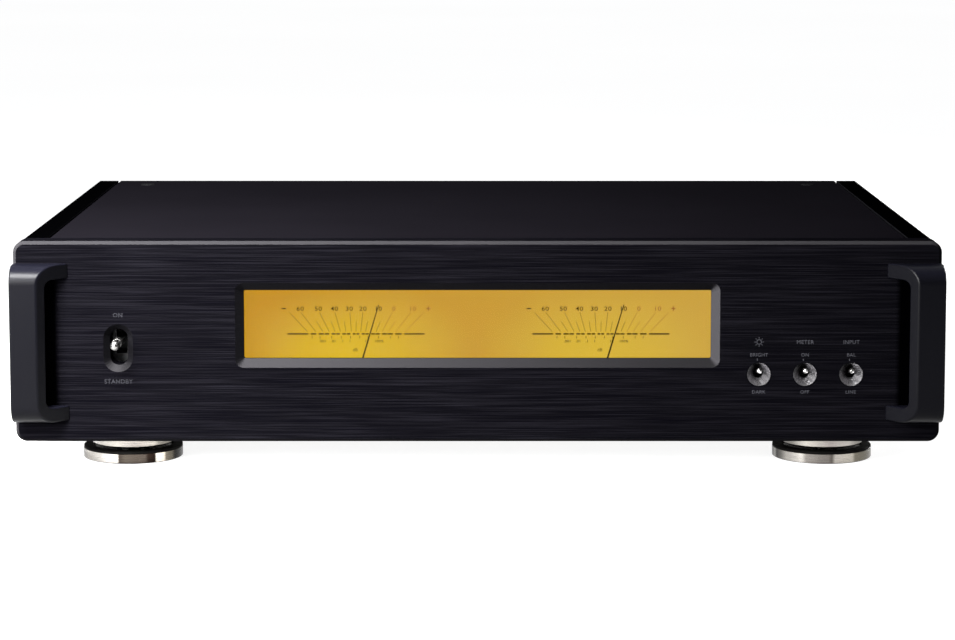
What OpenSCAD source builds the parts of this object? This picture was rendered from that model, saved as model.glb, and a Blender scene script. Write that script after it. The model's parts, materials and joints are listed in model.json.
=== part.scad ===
// Stereo power amplifier in a full-width black case: two level meters behind one long window,
// a lever power switch, three small toggle switches, and two handles on the front panel.
// +X is right as seen from the front, +Y runs to the rear, +Z is up, and the floor is z = 0.
// The origin is under the middle of the whole envelope, from the handles to the terminals.

/* [Case] */
// Width of the front panel, which is the width of the amplifier
panel_w = 444; // [443:0.5:446]
// Height of the front panel
panel_h = 97; // [97:0.5:99]
// Thickness of the front panel
panel_t = 14; // [14:0.5:15]
// Radius of the panel's four front corners
panel_corner_r = 5.5; // [4:0.5:7]
// Bevel round the panel's front edge
panel_bevel = 1.5; // [0.8:0.1:2]
// Depth of the case, from the panel's face to the rear panel
case_d = 302; // [302:1:310]
// Gap between the front panel's top and the cover's top
cover_drop = 0.5; // [0.3:0.1:0.8]
// Distance from the centre line to the outside of a side panel
side_x = 219.5; // [218:0.5:220]
// Thickness of a side panel
side_t = 11.5; // [10:0.5:11.5]
// Slit between the cover and each side panel
cover_slit = 1.5; // [1:0.1:1.6]

/* [Window] */
// Width of the meter window inside its bevel
window_w = 224.2; // [221:0.2:225]
// Height of the meter window inside its bevel
window_h = 33; // [32.5:0.1:33.5]
// Width of the bevel round the window
window_bevel = 4; // [3:0.1:4.4]
// Height of the window's centre above the floor
window_z = 70.5; // [70:0.5:71]
// Corner radius of the window's mouth
window_r = 4; // [3:0.5:5]

/* [Meters] */
// Distance of each meter's pivot from the centre line
meter_x = 59; // [57:0.5:60]
// Height of the meters' pivots above the floor
meter_z = 41; // [40.5:0.5:41.5]
// Length of a needle from its pivot
needle_len = 40; // [38:0.5:41]
// Angle of the needles at rest, to the right of upright
needle_rest = 16.6; // [10:0.1:20]

/* [Controls] */
// Distance of the power switch to the left of the centre line
power_x = 172.2; // [170:0.2:174]
// Height of the power switch's recess above the floor
power_z = 59.5; // [59:0.5:60]
// Diameter of the power lever
lever_d = 4.7; // [4.4:0.1:4.8]
// Distance of the middle toggle switch to the right of the centre line
toggle_x = 157; // [155:0.5:158]
// Spacing of the three toggle switches
toggle_pitch = 22.1; // [20:0.1:23]
// Height of the toggle switches above the floor
toggle_z = 46.8; // [46:0.2:47.4]
// Angle of each toggle above level at rest
toggle_tilt = 9; // [7:0.5:9]

/* [Handles] */
// Height of a handle
handle_h = 76; // [74:0.5:78]
// How far a handle stands out from the panel
handle_out = 14.5; // [14.5:0.5:16]
// Width of a handle at the panel
handle_base_w = 26.4; // [25:0.2:28]
// Width of a handle at its front
handle_bar_w = 13; // [12:0.5:14]

/* [Feet] */
// Diameter of a foot's base
foot_d = 48.7; // [46:0.1:50]
// Height of the feet, from the floor to the case
foot_h = 14; // [14:0.5:14.5]
// Distance of the feet from the centre line
foot_x = 170; // [168:0.5:170]
// Distance of each foot's centre from the panel's face or from the rear panel
foot_inset = 39; // [38:0.5:42]

/* [Rear] */
// How far the speaker terminals stand out behind the rear panel
terminal_out = 31.5; // [31.5:0.5:33]
// Diameter of a terminal knob
knob_d = 18; // [16:0.5:19]
// Height of the speaker terminals above the floor
terminal_z = 62; // [61:0.5:63]

/* [Hidden] */
$fn = 48;
cut = 0.02;

// Depths, from the handles at the front to the terminals at the rear
total_d = handle_out + case_d + terminal_out;
front_y = -total_d / 2;
face_y = front_y + handle_out;
panel_back = face_y + panel_t;
rear_y = face_y + case_d;
rear_sheet = 2;
rear_in = rear_y - rear_sheet;
sub_t = 2.5;
sub_back = panel_back + sub_t;

// Heights
top_z = foot_h + panel_h;
cover_z = top_z - cover_drop;
cover_t = 1.5;
cover_under = cover_z - cover_t;
tray_t = 1.6;
floor_z = foot_h + tray_t;

// Widths
side_in = side_x - side_t;
cover_x = side_in - cover_slit;
wall_in = side_in - tray_t;
flange_x = wall_in - tray_t;

// Window and dial
glass_t = 2;
lip_depth = 5.4;
glass_y = face_y + lip_depth;
glass_back = glass_y + glass_t;
pocket_w = window_w + 4.4;
pocket_h = window_h + 4.5;
dial_y = glass_back + 2.1;
dial_t = 1;
guide_y = dial_y + dial_t;
lamp_y = panel_back + 0.3;
lamp_t = 1.6;
spindle_r = 0.75;
running = 0.05;

// Power switch
power_top = 3;
lever_z = power_z + power_top;
lever_y = sub_back + 4.5;
lever_reach = lever_y - front_y - 0.4;
slot_w = 8.5;
slot_h = 17.5;

// Toggle switches
bezel_r = 6;
bezel_t = 5;
bush_r = 4.3;
bush_y = face_y + 7.1;
toggle_y = face_y + 10.5;

// Layout inside the case
core_y = face_y + 97.5;
sink_x = 176;
sink_t = 8;
sink_y0 = face_y + 50;
sink_y1 = face_y + 278;
pcb_t = 1.6;
supply_y = 42;
input_top = 31.6;

foot_ys = [face_y + foot_inset, rear_y - foot_inset];
terminal_xs = [-150, -118, 118, 150];
terminal_end = rear_y + terminal_out;
screw_xs = [-185, 0, 185];
screw_zs = [foot_h + 10, top_z - 10];
handle_z = (top_z + foot_h) / 2;
handle_screw_x = panel_w / 2 - handle_base_w / 2;
arm_t = 7.3;
inlet_x = 90;
inlet_z = 32;
line_xs = [-20, 20];
balanced_xs = [-48, 48];
socket_z = 62;
jack_z = 36;
mode_z = 88;

black = [0.03, 0.03, 0.035];
satin = [0.12, 0.12, 0.125];
steel = [0.72, 0.72, 0.72];
nickel = [0.82, 0.81, 0.78];
board = [0.05, 0.25, 0.14];
copper = [0.7, 0.38, 0.2];

// ---- Shared shapes ----

function rounded_points(w, h, r, steps = 8) = [
  for (q = [0:3]) for (i = [0:steps])
    let (a = q * 90 + i * 90 / steps, sx = (q == 0 || q == 3) ? 1 : -1, sz = q < 2 ? 1 : -1)
      [sx * (w / 2 - r) + r * cos(a), sz * (h / 2 - r) + r * sin(a)]
];

function arc(cx, cy, r, from, to, steps = 8) = [
  for (i = [0:steps]) let (a = from + (to - from) * i / steps) [cx + r * cos(a), cy + r * sin(a)]
];

// A box from its lowest corner to its highest one
module block(x0, x1, y0, y1, z0, z1) {
  translate([x0, y0, z0]) cube([x1 - x0, y1 - y0, z1 - z0]);
}

// A cylinder or cone along +Y, with its axis through (x, z)
module rod_y(x, z, y0, y1, r, r_end = -1) {
  translate([x, y0, z]) rotate([-90, 0, 0])
    cylinder(r1 = r, r2 = r_end < 0 ? r : r_end, h = y1 - y0);
}

module rod_x(y, z, x0, x1, r) {
  translate([x0, y, z]) rotate([0, 90, 0]) cylinder(r = r, h = x1 - x0);
}

module rod_z(x, y, z0, z1, r) {
  translate([x, y, z0]) cylinder(r = r, h = z1 - z0);
}

// Extrudes an outline drawn as (x, z) from y0 to y1
module along_y(y0, y1) {
  translate([0, y1, 0]) rotate([90, 0, 0]) linear_extrude(y1 - y0) children();
}

// Extrudes an outline drawn as (y, z) from x0 to x1
module along_x(x0, x1) {
  translate([x0, 0, 0]) rotate([90, 0, 90]) linear_extrude(x1 - x0) children();
}

module rounded_slab(x, z, w, h, r, y0, y1) {
  along_y(y0, y1) translate([x, z]) polygon(rounded_points(w, h, r));
}

// An opening in the face that slopes in from a wide mouth to a narrow one
module sloped_mouth(x, z, w, h, r, slope, depth, inner_r) {
  hull() {
    rounded_slab(x, z, w + 2 * slope, h + 2 * slope, r, face_y - cut, face_y);
    rounded_slab(x, z, w, h, inner_r, face_y + depth, face_y + depth + cut);
  }
}

// A socket-head screw along +Y, with its head at y0
module screw_y(x, z, y0, y1, r, head_r, head_h) {
  difference() {
    union() {
      rod_y(x, z, y0, y0 + head_h, head_r);
      rod_y(x, z, y0 + head_h - cut, y1, r);
    }
    translate([x, y0 - cut, z]) rotate([-90, 0, 0]) cylinder(r = head_r * 0.5, h = head_h * 0.6, $fn = 6);
  }
}

// The same screw with its head at the rear, pointing to the front
module screw_front(x, z, y_head, y_tip, r, head_r, head_h) {
  translate([0, y_head, 0]) mirror([0, 1, 0]) translate([0, -y_head, 0])
    screw_y(x, z, y_head, 2 * y_head - y_tip, r, head_r, head_h);
}

// ---- Case ----

module panel_outline(inset) {
  translate([0, handle_z])
    polygon(rounded_points(panel_w - 2 * inset, panel_h - 2 * inset, panel_corner_r - inset));
}

module front_panel() {
  color(black) difference() {
    hull() {
      along_y(face_y + panel_bevel, panel_back) panel_outline(0);
      along_y(face_y, panel_back) panel_outline(panel_bevel);
    }
    window_cuts();
    power_cuts();
    for (x = toggle_xs()) toggle_cuts(x);
    for (x = screw_xs, z = screw_zs) rod_y(x, z, panel_back - 8, panel_back + cut, 2);
    for (s = [-1, 1], z = arm_zs()) {
      rod_y(s * handle_screw_x, z, face_y - cut, panel_back + cut, 2.2);
      rod_y(s * handle_screw_x, z, panel_back - 4.5, panel_back + cut, 4);
    }
  }
}

module window_cuts() {
  sloped_mouth(0, window_z, window_w, window_h, window_r, window_bevel, window_bevel, 0.8);
  rounded_slab(0, window_z, window_w, window_h, 0.8, face_y + window_bevel, glass_y + cut);
  rounded_slab(0, window_z, pocket_w, pocket_h, 1, glass_y, panel_back + cut);
  for (s = [-1, 1])
    block(s * meter_x - 22, s * meter_x + 22, glass_back, panel_back + cut, meter_z - 11.5, window_z - 15);
}

module power_cuts() {
  sloped_mouth(-power_x, power_z, slot_w, slot_h, 6.9, 2.8, 4, slot_w / 2 - 0.05);
  rounded_slab(-power_x, power_z, slot_w, slot_h, slot_w / 2 - 0.05, face_y + 4, panel_back + cut);
}

function toggle_xs() = [for (i = [-1:1]) toggle_x + i * toggle_pitch];
function arm_zs() = [handle_z - handle_h / 2 + arm_t / 2, handle_z + handle_h / 2 - arm_t / 2];

module toggle_cuts(x) {
  rod_y(x, toggle_z, face_y - cut, face_y + bezel_t, bezel_r);
  rod_y(x, toggle_z, face_y + bezel_t - cut, bush_y, 3);
  rod_y(x, toggle_z, bush_y - cut, panel_back + cut, bush_r + 0.1);
}

module front_subframe() {
  color(steel) difference() {
    union() {
      block(-wall_in, wall_in, panel_back, sub_back, floor_z + 0.4, cover_under - 0.5);
      for (s = [-1, 1])
        block(s * (wall_in - 0.8) - 0.8, s * (wall_in - 0.8) + 0.8, sub_back - cut, sub_back + 15, 20, 90);
    }
    block(-112, 112, panel_back - cut, sub_back + cut, 52.3, 88);
    for (s = [-1, 1]) rod_y(s * meter_x, meter_z, panel_back - cut, sub_back + cut, 10.4);
    block(-power_x - 6, -power_x + 6, panel_back - cut, sub_back + cut, power_z - 11, power_z + 12);
    for (x = toggle_xs()) rod_y(x, toggle_z, panel_back - cut, sub_back + cut, bush_r);
    for (x = screw_xs, z = screw_zs) rod_y(x, z, panel_back - cut, sub_back + cut, 2);
  }
}

module chassis_tray() {
  color(steel) difference() {
    union() {
      block(-side_in, side_in, sub_back - sub_t, rear_in, foot_h, floor_z);
      for (s = [-1, 1])
        block(s * (side_in - 0.8) - 0.8, s * (side_in - 0.8) + 0.8, panel_back, rear_in, foot_h, 100);
      block(-wall_in, wall_in, rear_in - tray_t, rear_in, foot_h, foot_h + 12);
      for (x = [-foot_x, foot_x], y = foot_ys) rod_z(x, y, foot_h, floor_z + 4.5, 5);
      rod_z(0, core_y, foot_h, floor_z + 1.5, 7);
    }
    for (x = [-foot_x, foot_x], y = foot_ys) rod_z(x, y, foot_h - cut, floor_z + 5, 2.5);
    rod_z(0, core_y, foot_h - cut, floor_z + 2, 4);
    for (s = [-1, 1], i = [0:7]) block(
      s * 120 - 28, s * 120 + 28, -60 + i * 14, -56 + i * 14, foot_h - cut, floor_z + cut
    );
    for (s = [-1, 1], y = side_screw_ys()) rod_x(y, 57, s * side_in - 3, s * side_in + 3, 2);
    for (x = rear_screw_xs()) rod_y(x, foot_h + 6, rear_in - 3, rear_in + cut, 1.5);
    block(inlet_x - 14, inlet_x + 14, rear_in - 3, rear_in + cut, inlet_z - 10.5, foot_h + 13);
  }
}

function side_screw_ys() = [face_y + 37, face_y + 290];
function rear_screw_xs() = [-195, -60, 30, 195];

module rear_panel() {
  color(black) difference() {
    union() {
      block(-side_in + 0.2, side_in - 0.2, rear_in, rear_y, foot_h, cover_under);
      block(-flange_x + 1, flange_x - 1, rear_in - 28, rear_in + cut, cover_under - 1.6, cover_under);
    }
    for (x = rear_screw_xs()) rod_y(x, foot_h + 6, rear_in - cut, rear_y + cut, 1.5);
    for (x = terminal_xs) rod_y(x, terminal_z, rear_in - cut, rear_y + cut, 7);
    for (x = balanced_xs) rod_y(x, socket_z, rear_in - cut, rear_y + cut, 12);
    for (x = line_xs) rod_y(x, socket_z, rear_in - cut, rear_y + cut, 5);
    for (x = line_xs) rod_y(x, jack_z, rear_in - cut, rear_y + cut, 3.5);
    block(-7, 7, rear_in - cut, rear_y + cut, mode_z - 2.5, mode_z + 2.5);
    block(inlet_x - 14, inlet_x + 14, rear_in - cut, rear_y + cut, inlet_z - 10.5, inlet_z + 10.5);
    for (s = [-1, 1]) rod_z(s * 188.4, rear_y - 24, cover_under - 2, cover_under + cut, 1.5);
  }
}

module side_panel(s) {
  color(black) difference() {
    along_y(panel_back, rear_y) polygon([
      [s * side_in, foot_h], [s * (side_x - 1), foot_h], [s * side_x, foot_h + 1],
      [s * side_x, cover_z - 1], [s * (side_x - 1), cover_z], [s * side_in, cover_z]
    ]);
    for (y = side_screw_ys()) rod_x(y, 57, s * (side_in + 4) - 4, s * (side_in + 4) + 4, 2);
  }
}

module left_side_panel() { side_panel(-1); }
module right_side_panel() { side_panel(1); }

module top_cover() {
  color(satin) difference() {
    union() {
      block(-cover_x, cover_x, panel_back, rear_y, cover_under, cover_z);
      for (s = [-1, 1]) block(
        s * (cover_x - 0.85) - 0.75, s * (cover_x - 0.85) + 0.75,
        sub_back + 0.5, rear_in - 1, 98, cover_under + cut
      );
    }
    for (s = [-1, 1]) {
      rod_z(s * 188.4, rear_y - 24, cover_under - cut, cover_z + cut, 1.5);
      rod_z(s * 188.4, rear_y - 24, cover_z - 0.6, cover_z + cut, 3.8);
    }
  }
}

module cover_screws() {
  color(steel) for (s = [-1, 1]) translate([s * 188.4, rear_y - 24, 0]) difference() {
    union() {
      rod_z(0, 0, cover_z - 0.6, cover_z + 0.4, 3.8);
      rod_z(0, 0, cover_z - 9, cover_z - 0.5, 1.5);
    }
    translate([0, 0, cover_z - 0.4]) cylinder(r = 1.4, h = 1, $fn = 6);
  }
}

module side_screws() {
  color(steel) for (s = [-1, 1], y = side_screw_ys()) {
    rod_x(y, 57, s * (wall_in + 4.5) - 4.5, s * (wall_in + 4.5) + 4.5, 2);
    rod_x(y, 57, s * (wall_in - 1.2) - 1.2, s * (wall_in - 1.2) + 1.2, 3.6);
  }
}

module rear_screws() {
  color(steel) for (x = rear_screw_xs())
    screw_front(x, foot_h + 6, rear_y + 1.6, rear_in - 5, 1.5, 3, 1.6);
}

module front_screws() {
  color(steel) for (x = screw_xs, z = screw_zs)
    screw_front(x, z, sub_back + 2.6, panel_back - 7.5, 2, 3.6, 2.6);
}

// ---- Handles ----

// Side outline of a handle: a bracket with rounded outer corners and a finger gap
module handle_outline() {
  z0 = handle_z - handle_h / 2;
  z1 = handle_z + handle_h / 2;
  r = 9;
  gap_r = 3.5;
  gap_y = front_y + 4.2;
  polygon(concat(
    [[face_y, z0]], arc(front_y + r, z0 + r, r, 270, 180), arc(front_y + r, z1 - r, r, 180, 90),
    [[face_y, z1], [face_y, z1 - arm_t]],
    arc(gap_y + gap_r, z1 - arm_t - gap_r, gap_r, 90, 180),
    arc(gap_y + gap_r, z0 + arm_t + gap_r, gap_r, 180, 270), [[face_y, z0 + arm_t]]
  ));
}

module handle() {
  x1 = panel_w / 2;
  b = 0.9;
  color(satin) difference() {
    intersection() {
      along_x(x1 - handle_base_w, x1) handle_outline();
      translate([0, 0, handle_z - handle_h / 2 - 1]) linear_extrude(handle_h + 2) polygon([
        [x1 - handle_base_w, face_y], [x1 - handle_bar_w, front_y + b],
        [x1 - handle_bar_w + b, front_y], [x1 - b, front_y], [x1, front_y + b], [x1, face_y]
      ]);
    }
    for (z = arm_zs()) rod_y(handle_screw_x, z, face_y - 8, face_y + cut, 2);
  }
}

module left_handle() { mirror([1, 0, 0]) handle(); }
module right_handle() { handle(); }

module handle_screws() {
  color(steel) for (s = [-1, 1], z = arm_zs())
    screw_front(s * handle_screw_x, z, panel_back - 0.5, face_y - 7, 2, 3.5, 4);
}

// ---- Meters ----

module meter_window() {
  color([0.9, 0.9, 0.9, 0.3])
    rounded_slab(0, window_z, pocket_w - 0.4, pocket_h - 0.4, 0.8, glass_y, glass_back);
}

module dial_plate() {
  w = pocket_w - 0.8;
  h = pocket_h - 0.6;
  z0 = window_z - h / 2;
  z1 = window_z + h / 2;
  color([0.95, 0.6, 0.12]) difference() {
    union() {
      block(-w / 2, w / 2, dial_y, guide_y, z0, z1);
      for (s = [-1, 1]) block(s * meter_x - 18, s * meter_x + 18, dial_y, guide_y, meter_z - 9.5, z0 + 1);
      block(-w / 2, w / 2, glass_back, dial_y + cut, z1 - 1.5, z1);
      for (s = [-1, 1]) block(
        s * (w / 2 - 0.7) - 0.7, s * (w / 2 - 0.7) + 0.7, glass_back, dial_y + cut, z0, z1
      );
    }
    for (s = [-1, 1]) rod_y(s * meter_x, meter_z, dial_y - cut, guide_y + cut, 1.6);
  }
}

lamp_xs = [for (i = [-2.5:1:2.5]) i * 36];

module light_guide() {
  color([0.95, 0.93, 0.85]) difference() {
    block(-111.8, 111.8, guide_y, lamp_y, 52.5, 87.8);
    for (x = lamp_xs) block(x - 2.6, x + 2.6, lamp_y - 2, lamp_y + cut, 53.5, 57);
  }
}

module lamp_board() {
  color(board) {
    block(-111.5, 111.5, lamp_y, lamp_y + lamp_t, 52.8, 87.6);
    for (x = lamp_xs) block(x - 2.4, x + 2.4, lamp_y - 1.8, lamp_y + cut, 53.8, 56.8);
  }
}

module meter_movement(s) {
  color(satin) translate([s * meter_x, 0, meter_z]) difference() {
    union() {
      rod_y(0, 0, guide_y, guide_y + 14, 9.8);
      rod_y(0, 0, guide_y + 14 - cut, guide_y + 17, 5);
      for (x = [-3.2, 3.2]) rod_y(x, 7, guide_y + 14 - cut, guide_y + 19, 0.9);
    }
    rod_y(0, 0, guide_y - cut, guide_y + 16, spindle_r + running);
  }
}

module left_meter() { meter_movement(-1); }
module right_meter() { meter_movement(1); }

module needle(s) {
  y0 = dial_y - 1.2;
  color(black) translate([s * meter_x, 0, meter_z]) rotate([0, needle_rest, 0]) {
    rod_y(0, 0, y0, guide_y + 13, spindle_r);
    rod_y(0, 0, y0, y0 + 0.8, 2.4);
    along_y(y0 + 0.1, y0 + 0.5) polygon([
      [-0.45, -8], [0.45, -8], [0.45, 0], [0.2, needle_len], [-0.2, needle_len], [-0.45, 0]
    ]);
    rod_y(0, -7, y0, y0 + 0.8, 1.6);
  }
}

module left_needle() { needle(-1); }
module right_needle() { needle(1); }

// ---- Power switch ----

module power_switch() {
  color(satin) translate([-power_x, 0, lever_z]) difference() {
    union() {
      block(-8, 8, sub_back, sub_back + 28, -12, 12);
      for (x = [-4, 4], z = [-7, 7]) block(x - 2, x + 2, sub_back + 27, sub_back + 32, z - 0.4, z + 0.4);
    }
    block(-2.6, 2.6, sub_back - cut, sub_back + 12, -8, 8);
    rod_x(lever_y, 0, -7.2, 7.2, 1.5 + running);
  }
}

module power_lever() {
  r = lever_d / 2;
  tip = lever_reach;
  profile = concat(
    [[0, -3.5], [1.9, -3.5], [1.9, tip - 17], [r - 0.1, tip - 16], [r - 0.1, tip - 9.2]],
    [for (i = [0:2]) each [[r - 0.45, tip - 9 + i * 1.6], [r - 0.45, tip - 8.6 + i * 1.6],
      [r, tip - 8.4 + i * 1.6], [r, tip - 7.6 + i * 1.6]]],
    [[r, tip - r * 0.8]],
    [for (a = [20:20:80]) [r * cos(a), tip - r * 0.8 + r * 0.8 * sin(a)]],
    [[0, tip]]
  );
  color(nickel) translate([-power_x, lever_y, lever_z]) {
    rotate([90, 0, 0]) rotate_extrude() polygon(profile);
    rod_x(0, 0, -7, 7, 1.5);
  }
}

// ---- Toggle switches ----

module toggle_bezels() {
  color(nickel) for (x = toggle_xs()) difference() {
    rod_y(x, toggle_z, face_y, face_y + bezel_t, bezel_r);
    rod_y(x, toggle_z, face_y - cut, face_y + 4, 5.6, 2.3);
    rod_y(x, toggle_z, face_y + 4 - cut, face_y + bezel_t + cut, 2.3);
  }
}

module toggle_switches() {
  color(satin) for (x = toggle_xs()) difference() {
    union() {
      rod_y(x, toggle_z, bush_y, sub_back + cut, bush_r);
      block(x - 4.5, x + 4.5, sub_back, sub_back + 15, toggle_z - 6, toggle_z + 6);
    }
    rod_y(x, toggle_z, bush_y - cut, toggle_y + 4.5, 2.6);
    rod_x(toggle_y, toggle_z, x - 3.9, x + 3.9, 0.8 + running);
  }
}

module toggle_lever(x) {
  tip = 14.6;
  r = 1.22;
  profile = concat(
    [[0, -2.5], [0.95, -2.5], [0.95, tip - 5], [r, tip - 3.5]],
    [for (a = [0:18:72]) [r * cos(a), tip - r + r * sin(a)]], [[0, tip]]
  );
  color(nickel) translate([x, toggle_y, toggle_z]) {
    rotate([90 - toggle_tilt, 0, 0]) rotate_extrude() polygon(profile);
    rod_x(0, 0, -3.7, 3.7, 0.8);
  }
}

module brightness_lever() { toggle_lever(toggle_xs()[0]); }
module meter_lever() { toggle_lever(toggle_xs()[1]); }
module input_lever() { toggle_lever(toggle_xs()[2]); }

module front_board() {
  y0 = sub_back + 15;
  color(board) {
    block(toggle_x - 34, toggle_x + 34, y0, y0 + pcb_t, toggle_z - 18, toggle_z + 20);
    for (x = [-24, -12, 12, 24]) rod_y(toggle_x + x, toggle_z + 12, y0 + pcb_t - cut, y0 + pcb_t + 8, 3);
    block(toggle_x - 14, toggle_x + 14, y0 + pcb_t - cut, y0 + pcb_t + 6, toggle_z - 16, toggle_z - 10);
  }
}

// ---- Power supply ----

module transformer() {
  h = 60;
  z0 = floor_z + 3;
  color(copper) translate([0, core_y, z0]) rotate_extrude() polygon(concat(
    [[22, 5], [27, 0]], arc(52, 8, 8, 270, 360, 4), arc(52, h - 8, 8, 0, 90, 4), [[27, h], [22, h - 5]]
  ));
}

module ring(r_in, r_out, z0, z1) {
  translate([0, core_y, 0]) difference() {
    rod_z(0, 0, z0, z1, r_out);
    rod_z(0, 0, z0 - cut, z1 + cut, r_in);
  }
}

module transformer_pads() {
  color(black) {
    ring(12, 50, floor_z, floor_z + 3);
    ring(12, 50, floor_z + 63, floor_z + 66);
  }
}

module transformer_plate() {
  color(steel) ring(4, 46, floor_z + 66, floor_z + 68);
}

module transformer_bolt() {
  color(steel) translate([0, core_y, 0]) {
    rod_z(0, 0, foot_h, floor_z + 69, 4);
    translate([0, 0, floor_z + 68]) cylinder(r = 7.5, h = 6, $fn = 6);
  }
}

module supply_board() {
  color(board) {
    block(-92, 92, supply_y - 30, supply_y + 30, 20.4, 20.4 + pcb_t);
    for (x = [-84, 84]) block(x - 5, x + 5, supply_y - 18, supply_y + 18, 20.4 + pcb_t - cut, 34);
  }
}

module supply_capacitors() {
  z0 = 20.4 + pcb_t;
  color(satin) for (x = [-57, -19, 19, 57]) translate([x, supply_y, z0]) difference() {
    rod_z(0, 0, 0, 58, 17.5);
    rod_z(0, 0, 57.2, 58 + cut, 15.8);
  }
}

// ---- Amplifier channels ----

module heat_sink(s) {
  n = 22;
  pitch = (sink_y1 - sink_y0 - 2) / (n - 1);
  color(satin) {
    block(
      s * (sink_x + sink_t / 2) - sink_t / 2, s * (sink_x + sink_t / 2) + sink_t / 2,
      sink_y0, sink_y1, floor_z, 92
    );
    for (i = [0:n - 1]) block(
      s * (sink_x + 15) - 12, s * (sink_x + 15) + 12,
      sink_y0 + i * pitch, sink_y0 + i * pitch + 2, 24, 90
    );
  }
}

module left_heat_sink() { heat_sink(-1); }
module right_heat_sink() { heat_sink(1); }

amp_ys = [for (i = [0:3]) face_y + 88 + i * 42];

module output_transistors() {
  color(black) for (s = [-1, 1], y = amp_ys) difference() {
    block(s * (sink_x - 2.5) - 2.5, s * (sink_x - 2.5) + 2.5, y - 8, y + 8, 42, 66);
    rod_x(y, 61, s * (sink_x - 2.5) - 3, s * (sink_x - 2.5) + 3, 1.6);
  }
}

module amp_board(s) {
  x = s * (sink_x - 9);
  color(board) {
    block(x - 0.8, x + 0.8, sink_y0 + 10, sink_y1 - 10, 28, 88);
    for (i = [0:4]) block(
      s * (sink_x - 12.8) - 3.2, s * (sink_x - 12.8) + 3.2,
      sink_y0 + 28 + i * 38, sink_y0 + 40 + i * 38, 72, 84
    );
    for (i = [0:4])
      rod_x(sink_y0 + 30 + i * 36, 38, s * (sink_x - 15.5) - 5.9, s * (sink_x - 15.5) + 5.9, 4);
  }
}

module left_amp_board() { amp_board(-1); }
module right_amp_board() { amp_board(1); }

module input_board() {
  color(board) {
    block(-62, 62, 86, rear_in - 4, input_top - pcb_t, input_top);
    for (x = [-44, -22, 22, 44]) block(x - 6, x + 6, 94, 104, input_top - cut, input_top + 8);
  }
}

module board_standoffs() {
  color(steel) {
    for (x = [-70, 70], y = [supply_y - 25, supply_y + 25]) rod_z(x, y, floor_z, 20.4, 3);
    for (x = [-56, 56], y = [92, 130]) rod_z(x, y, floor_z, input_top - pcb_t, 3);
    for (s = [-1, 1], y = [sink_y0 + 18, sink_y1 - 18], z = [34, 82])
      rod_x(y, z, s * (sink_x - 4.1) - 4.1, s * (sink_x - 4.1) + 4.1, 3);
  }
}

// ---- Rear connectors ----

module power_inlet() {
  color(black) translate([inlet_x, 0, inlet_z]) difference() {
    union() {
      rounded_slab(0, 0, 48, 27, 4, rear_y, rear_y + 2.5);
      block(-13.8, 13.8, rear_y - 26, rear_y + cut, -10.2, 10.2);
      for (x = [-8, 0, 8]) block(x - 2.4, x + 2.4, rear_y - 33, rear_y - 25, -0.4, 0.4);
    }
    block(-12, 12, rear_y - 16, rear_y + 3, -8, 8);
    for (x = [-20, 20]) rod_y(x, 0, rear_y - cut, rear_y + 3, 1.6);
  }
  color(nickel) translate([inlet_x, 0, inlet_z]) for (x = [-7, 0, 7])
    block(x - 1, x + 1, rear_y - 16 - cut, rear_y - 1, (x == 0 ? 1.5 : -4), (x == 0 ? 5.5 : 0));
}

module balanced_sockets() {
  color(satin) for (x = balanced_xs) translate([x, 0, socket_z]) difference() {
    union() {
      rounded_slab(0, 0, 26, 31, 2.5, rear_y, rear_y + 2.5);
      rod_y(0, 0, rear_y - 22, rear_y + cut, 11.8);
    }
    difference() {
      rod_y(0, 0, rear_y - 12, rear_y + 3, 9.6);
      rod_y(0, 0, rear_y - 12 - cut, rear_y + 1.5, 7.4);
    }
    for (a = [30, 150, 270]) rod_y(4 * cos(a), 4 * sin(a), rear_y - 12, rear_y + 2, 1.3);
    for (k = [-1, 1]) rod_y(k * 9.5, k * 12, rear_y - cut, rear_y + 3, 1.6);
  }
}

module line_sockets() {
  color(nickel) for (x = line_xs) translate([x, 0, socket_z]) difference() {
    union() {
      rod_y(0, 0, rear_y, rear_y + 2.2, 6.5);
      rod_y(0, 0, rear_y - 10, rear_y + 9.5, 4.15);
    }
    rod_y(0, 0, rear_y - 4, rear_y + 10, 1.65);
  }
}

module trigger_jacks() {
  color(black) for (x = line_xs) translate([x, 0, jack_z]) difference() {
    union() {
      rod_y(0, 0, rear_y, rear_y + 2, 5);
      block(-5, 5, rear_y - 16, rear_in, -4.2, 6);
      rod_y(0, 0, rear_in - cut, rear_y + cut, 3.4);
    }
    rod_y(0, 0, rear_y - 13, rear_y + 3, 1.75);
  }
}

module mode_switch() {
  color(steel) difference() {
    block(-12, 12, rear_in - 9, rear_in, mode_z - 4, mode_z + 4);
    block(-6.5, 6.5, rear_in - 6, rear_in + cut, mode_z - 2.1, mode_z + 2.1);
  }
}

// The slider stands at the left end of its slot and moves 5 mm to the right.
module mode_slider() {
  color(black) block(-6.2, -1.2, rear_in - 5.9, rear_y + 2.2, mode_z - 2, mode_z + 2);
}

stud_r = 3;

module terminal_studs() {
  color(nickel) for (x = terminal_xs) difference() {
    rod_y(x, terminal_z, rear_in - 14, terminal_end, stud_r);
    rod_y(x, terminal_z, terminal_end - 20, terminal_end + cut, 2);
  }
}

module terminal_insulators() {
  color(black) for (x = terminal_xs) difference() {
    union() {
      rod_y(x, terminal_z, rear_y, rear_y + 7, 10.5);
      rod_y(x, terminal_z, rear_in - 4, rear_y + cut, 6.9);
      rod_y(x, terminal_z, rear_in - 8, rear_in, 9);
    }
    rod_y(x, terminal_z, rear_in - 9, rear_y + 8, stud_r);
  }
}

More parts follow.
